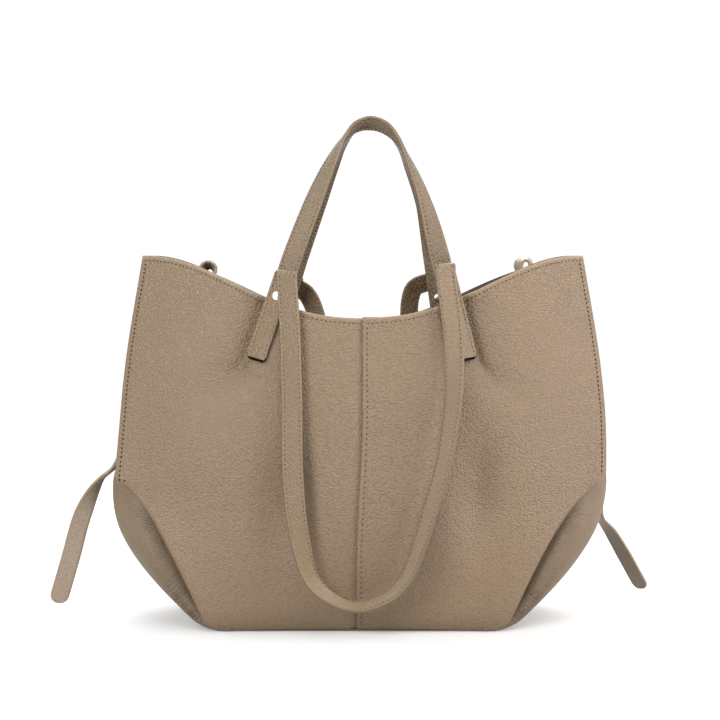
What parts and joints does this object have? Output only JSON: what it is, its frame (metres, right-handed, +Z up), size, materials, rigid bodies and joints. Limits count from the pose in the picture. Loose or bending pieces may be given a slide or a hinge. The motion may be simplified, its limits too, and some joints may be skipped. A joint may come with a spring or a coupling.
{
  "type": "tote bag",
  "caption": "Soft leather tote with a dipped open mouth, folded side gussets, riveted short handles, long shoulder straps folded over slanted tabs, and loose side ties.",
  "frame": {"origin": "on the floor under the middle of the base, in the plane between front and back", "axes": "+X to the right seen from the front, +Y from the front to the back, +Z up; the front faces -Y"},
  "size_m": [0.5874, 0.211, 0.4815],
  "materials": {
    "panel_leather": "pebbled taupe leather, satin",
    "gusset_leather": "pebbled taupe leather, satin, slightly thinner",
    "strap_leather": "doubled taupe leather strap with stitched edges",
    "inner_leather": "bare flesh side, matt",
    "board": "stiffener board, matt",
    "chrome": "polished rivet"
  },
  "bodies": {
    "bag": {"front_panel_left": "panel_leather", "front_panel_right": "panel_leather", "back_panel_left": "panel_leather", "back_panel_right": "panel_leather", "left_gusset": "gusset_leather", "right_gusset": "gusset_leather", "base_panel": "gusset_leather", "base_board": "board", "front_facing": "inner_leather", "back_facing": "inner_leather", "front_left_strap_tab": "strap_leather", "front_left_handle_end": "strap_leather", "front_left_rivet_cap": "chrome", "front_left_rivet_post": "chrome", "front_right_strap_tab": "strap_leather", "front_right_handle_end": "strap_leather", "front_right_rivet_cap": "chrome", "front_right_rivet_post": "chrome", "back_left_strap_tab": "strap_leather", "back_left_handle_end": "strap_leather", "back_left_rivet_cap": "chrome", "back_left_rivet_post": "chrome", "back_right_strap_tab": "strap_leather", "back_right_handle_end": "strap_leather", "back_right_rivet_cap": "chrome", "back_right_rivet_post": "chrome", "left_tie_loop": "strap_leather", "right_tie_loop": "strap_leather"},
    "front_handle": {"front_handle": "strap_leather"},
    "back_handle": {"back_handle": "strap_leather"},
    "front_shoulder_strap": {"front_shoulder_strap": "strap_leather"},
    "back_shoulder_strap": {"back_shoulder_strap": "strap_leather"},
    "left_side_tie": {"left_side_tie": "strap_leather"},
    "right_side_tie": {"right_side_tie": "strap_leather"}
  },
  "joints": [
    {"name": "front_handle_swing", "type": "hinge", "parent": "bag", "child": "front_handle", "pos_m": [0, -0.0521, 0.3377], "axis": [-1, 0, 0], "range_deg": [-90, 0]},
    {"name": "back_handle_swing", "type": "hinge", "parent": "bag", "child": "back_handle", "pos_m": [0, 0.05144, 0.3427], "axis": [1, 0, 0], "range_deg": [-90, 0]},
    {"name": "front_strap_swing", "type": "hinge", "parent": "bag", "child": "front_shoulder_strap", "pos_m": [0, -0.0669, 0.3276], "axis": [-1, 0, 0], "range_deg": [0, 160]},
    {"name": "back_strap_swing", "type": "hinge", "parent": "bag", "child": "back_shoulder_strap", "pos_m": [0, 0.0662, 0.3326], "axis": [1, 0, 0], "range_deg": [0, 160]},
    {"name": "left_tie_swing", "type": "hinge", "parent": "bag", "child": "left_side_tie", "pos_m": [-0.157, 0, 0.3367], "axis": [0, 1, 0], "range_deg": [0, 90]},
    {"name": "right_tie_swing", "type": "hinge", "parent": "bag", "child": "right_side_tie", "pos_m": [0.157, 0, 0.3367], "axis": [0, -1, 0], "range_deg": [0, 90]}
  ]
}
